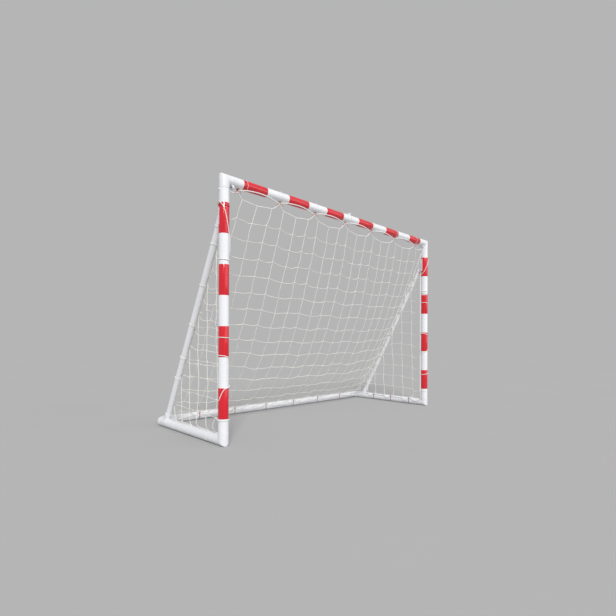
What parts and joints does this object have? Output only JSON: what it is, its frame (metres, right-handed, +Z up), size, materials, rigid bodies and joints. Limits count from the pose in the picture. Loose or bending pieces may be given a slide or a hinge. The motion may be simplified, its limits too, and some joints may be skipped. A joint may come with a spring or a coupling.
{
  "type": "folding handball goal",
  "caption": "Free-standing folding goal: striped plastic tube frame with moulded corners, hinged crossbar and back bar, and a knotted net.",
  "frame": {"origin": "on the floor, in the middle of the goal's bounding box", "axes": "+X along the crossbar to the right, +Y from the goal mouth to the back, +Z up"},
  "size_m": [2.5422, 1.0442, 1.7855],
  "materials": {
    "white_tube": "glossy white rigid plastic tube",
    "red_film": "glossy red film bonded round the tubes in bands",
    "white_moulding": "satin white injection-moulded plastic",
    "hinge_steel": "zinc-plated steel",
    "red_holders": "matt red plastic and elastic",
    "net_twine": "off-white braided twine, knotted in square mesh"
  },
  "bodies": {
    "left_frame": {"left_post": "white_tube", "left_side_bar": "white_tube", "left_strut": "white_tube", "left_top_corner": "white_moulding", "left_foot_corner": "white_moulding", "left_back_corner": "white_moulding", "left_strut_top_socket": "white_moulding", "left_strut_foot_socket": "white_moulding", "left_top_hinge_pin": "hinge_steel", "left_back_hinge_pin": "hinge_steel", "left_side_bar_clip_1": "red_holders", "left_side_bar_clip_2": "red_holders", "left_side_bar_clip_3": "red_holders", "left_side_net": "net_twine", "back_net": "net_twine"},
    "crossbar_left": {"crossbar_left_tube": "white_tube", "crossbar_left_outer_end": "white_moulding", "crossbar_left_inner_end": "white_moulding", "crossbar_left_tie_1": "red_holders", "crossbar_left_tie_2": "red_holders", "crossbar_left_tie_3": "red_holders", "crossbar_left_tie_4": "red_holders", "crossbar_middle_hinge_pin": "hinge_steel"},
    "back_bar_left": {"back_bar_left_tube": "white_tube", "back_bar_left_outer_end": "white_moulding", "back_bar_left_inner_end": "white_moulding", "back_bar_left_clip_1": "red_holders", "back_bar_left_clip_2": "red_holders", "back_bar_left_clip_3": "red_holders", "back_bar_middle_hinge_pin": "hinge_steel"},
    "right_frame": {"right_post": "white_tube", "right_side_bar": "white_tube", "right_strut": "white_tube", "right_top_corner": "white_moulding", "right_foot_corner": "white_moulding", "right_back_corner": "white_moulding", "right_strut_top_socket": "white_moulding", "right_strut_foot_socket": "white_moulding", "right_top_hinge_pin": "hinge_steel", "right_back_hinge_pin": "hinge_steel", "right_side_bar_clip_1": "red_holders", "right_side_bar_clip_2": "red_holders", "right_side_bar_clip_3": "red_holders", "right_side_net": "net_twine"},
    "crossbar_right": {"crossbar_right_tube": "white_tube", "crossbar_right_outer_end": "white_moulding", "crossbar_right_inner_end": "white_moulding", "crossbar_right_tie_1": "red_holders", "crossbar_right_tie_2": "red_holders", "crossbar_right_tie_3": "red_holders"},
    "back_bar_right": {"back_bar_right_tube": "white_tube", "back_bar_right_outer_end": "white_moulding", "back_bar_right_inner_end": "white_moulding", "back_bar_right_clip_1": "red_holders", "back_bar_right_clip_2": "red_holders", "back_bar_right_clip_3": "red_holders"}
  },
  "joints": [
    {"name": "crossbar_left_hinge", "type": "hinge", "parent": "left_frame", "child": "crossbar_left", "pos_m": [-1.172, -0.48445, 1.6905], "axis": [0, 1, 0], "range_deg": [0, 90], "deforming": ["back_net"]},
    {"name": "crossbar_middle_hinge", "type": "hinge", "parent": "crossbar_left", "child": "crossbar_right", "pos_m": [0, -0.48445, 1.7775], "axis": [0, 1, 0], "range_deg": [-180, 0]},
    {"name": "crossbar_right_hinge", "type": "hinge", "parent": "crossbar_right", "child": "right_frame", "pos_m": [1.172, -0.48445, 1.6905], "axis": [0, 1, 0], "range_deg": [0, 90]},
    {"name": "back_bar_left_hinge", "type": "hinge", "parent": "left_frame", "child": "back_bar_left", "pos_m": [-1.172, 0.42705, 0.03408], "axis": [0, 0, -1], "range_deg": [0, 90]},
    {"name": "back_bar_middle_hinge", "type": "hinge", "parent": "back_bar_left", "child": "back_bar_right", "pos_m": [0, 0.51405, 0.03408], "axis": [0, 0, -1], "range_deg": [-180, 0]}
  ],
  "couplings": [
    {"joint": "crossbar_middle_hinge", "follows": "crossbar_left_hinge", "ratio": -2},
    {"joint": "crossbar_right_hinge", "follows": "crossbar_left_hinge", "ratio": 1},
    {"joint": "back_bar_left_hinge", "follows": "crossbar_left_hinge", "ratio": 1},
    {"joint": "back_bar_middle_hinge", "follows": "crossbar_left_hinge", "ratio": -2}
  ]
}
